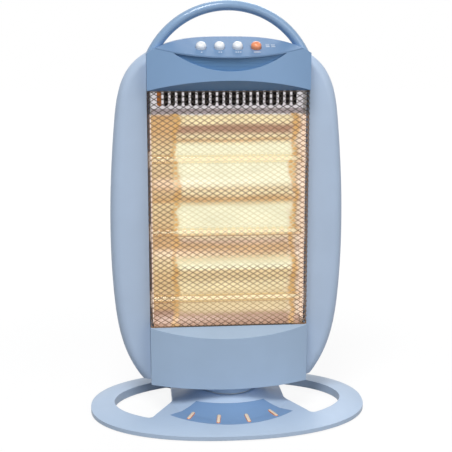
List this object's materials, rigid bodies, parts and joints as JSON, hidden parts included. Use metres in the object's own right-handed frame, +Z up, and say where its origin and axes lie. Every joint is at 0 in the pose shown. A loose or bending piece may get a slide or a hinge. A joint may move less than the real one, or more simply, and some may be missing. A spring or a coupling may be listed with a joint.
{
  "type": "carbon heater",
  "caption": "Upright oscillating carbon heater: barrel body with guarded glowing tubes in a trough reflector, push buttons, arched handle, swivelling on an oval ring base.",
  "frame": {"origin": "on the floor under the swivel axis, at the middle of the oval base", "axes": "+Z up, -Y towards the front where the guard and buttons are, +X to the right as seen from the front"},
  "size_m": [0.35, 0.228, 0.5117],
  "materials": {
    "base_plastic": "satin light blue",
    "inlay_plastic": "satin mid blue",
    "copper_mark": "copper-coloured",
    "dark_plastic": "matte",
    "foot_rubber": "matte",
    "plated_steel": "zinc plated",
    "acetal": "slippery white",
    "side_plastic": "satin light blue",
    "hood_plastic": "satin mid blue",
    "cover_plastic": "satin grey blue",
    "handle_plastic": "satin blue",
    "white_button": "glossy",
    "orange_button": "glossy",
    "white_print": "printed",
    "guard_steel": "plated wire",
    "reflector_steel": "polished",
    "sheet_steel": "plain",
    "quartz": "clear",
    "carbon_ribbon": "glowing",
    "ceramic_white": "unglazed",
    "wire_sleeve": "braided sleeve"
  },
  "bodies": {
    "base": {"base_ring": "base_plastic", "base_inlay": "inlay_plastic", "position_marks": "copper_mark", "base_plate": "dark_plastic", "rubber_feet": "foot_rubber", "base_screws": "plated_steel", "pivot_post": "plated_steel", "slip_ring": "acetal", "sector_gear": "acetal", "retaining_collar": "plated_steel"},
    "heater": {"swing_motor": "sheet_steel", "motor_screws": "plated_steel", "body_floor": "cover_plastic", "rear_shell": "side_plastic", "case_screws": "plated_steel", "cord_gland": "dark_plastic", "hood": "hood_plastic", "panel_print": "white_print", "switch_bank": "dark_plastic", "switch_screws": "plated_steel", "handle": "handle_plastic", "lower_cover": "cover_plastic", "guard": "guard_steel", "reflector": "reflector_steel", "heat_shield": "sheet_steel", "end_plate_left": "sheet_steel", "end_plate_right": "sheet_steel", "ceramic_caps": "ceramic_white", "lead_wires": "wire_sleeve", "terminal_block": "acetal", "thermal_cutout": "dark_plastic", "tip_switch_case": "acetal", "side_panel_right": "side_plastic", "side_panel_left": "side_plastic", "quartz_tube_bottom": "quartz", "filament_bottom": "carbon_ribbon", "quartz_tube_middle": "quartz", "filament_middle": "carbon_ribbon", "quartz_tube_top": "quartz", "filament_top": "carbon_ribbon"},
    "pinion": {"drive_pinion": "acetal"},
    "pendulum": {"tip_pendulum": "plated_steel"},
    "button_low": {"button_low": "white_button"},
    "button_medium": {"button_medium": "white_button"},
    "button_high": {"button_high": "white_button"},
    "button_swing": {"button_swing": "orange_button"}
  },
  "joints": [
    {"name": "body_swivel", "type": "hinge", "parent": "base", "child": "heater", "pos_m": [0, 0, 0.03], "axis": [0, 0, 1], "range_deg": [-35, 35]},
    {"name": "pinion_spin", "type": "hinge", "parent": "heater", "child": "pinion", "pos_m": [-0.036, 0, 0.0488], "axis": [0, 0, 1], "range_deg": [-106, 106]},
    {"name": "tip_swing", "type": "hinge", "parent": "heater", "child": "pendulum", "pos_m": [0.062, -0.006, 0.075], "axis": [1, 0, 0], "range_deg": [-24, 24]},
    {"name": "button_low_press", "type": "slide", "parent": "heater", "child": "button_low", "axis": [0, 0.4478, -0.8942], "range_m": [0, 0.003], "stiffness_N_per_m": 300, "springref_m": -0.002},
    {"name": "button_medium_press", "type": "slide", "parent": "heater", "child": "button_medium", "axis": [0, 0.4478, -0.8942], "range_m": [0, 0.003], "stiffness_N_per_m": 300, "springref_m": -0.002},
    {"name": "button_high_press", "type": "slide", "parent": "heater", "child": "button_high", "axis": [0, 0.4478, -0.8942], "range_m": [0, 0.003], "stiffness_N_per_m": 300, "springref_m": -0.002},
    {"name": "button_swing_press", "type": "slide", "parent": "heater", "child": "button_swing", "axis": [0, 0.4478, -0.8942], "range_m": [0, 0.003], "stiffness_N_per_m": 300, "springref_m": -0.002}
  ],
  "couplings": [
    {"joint": "pinion_spin", "follows": "body_swivel", "ratio": 3}
  ]
}
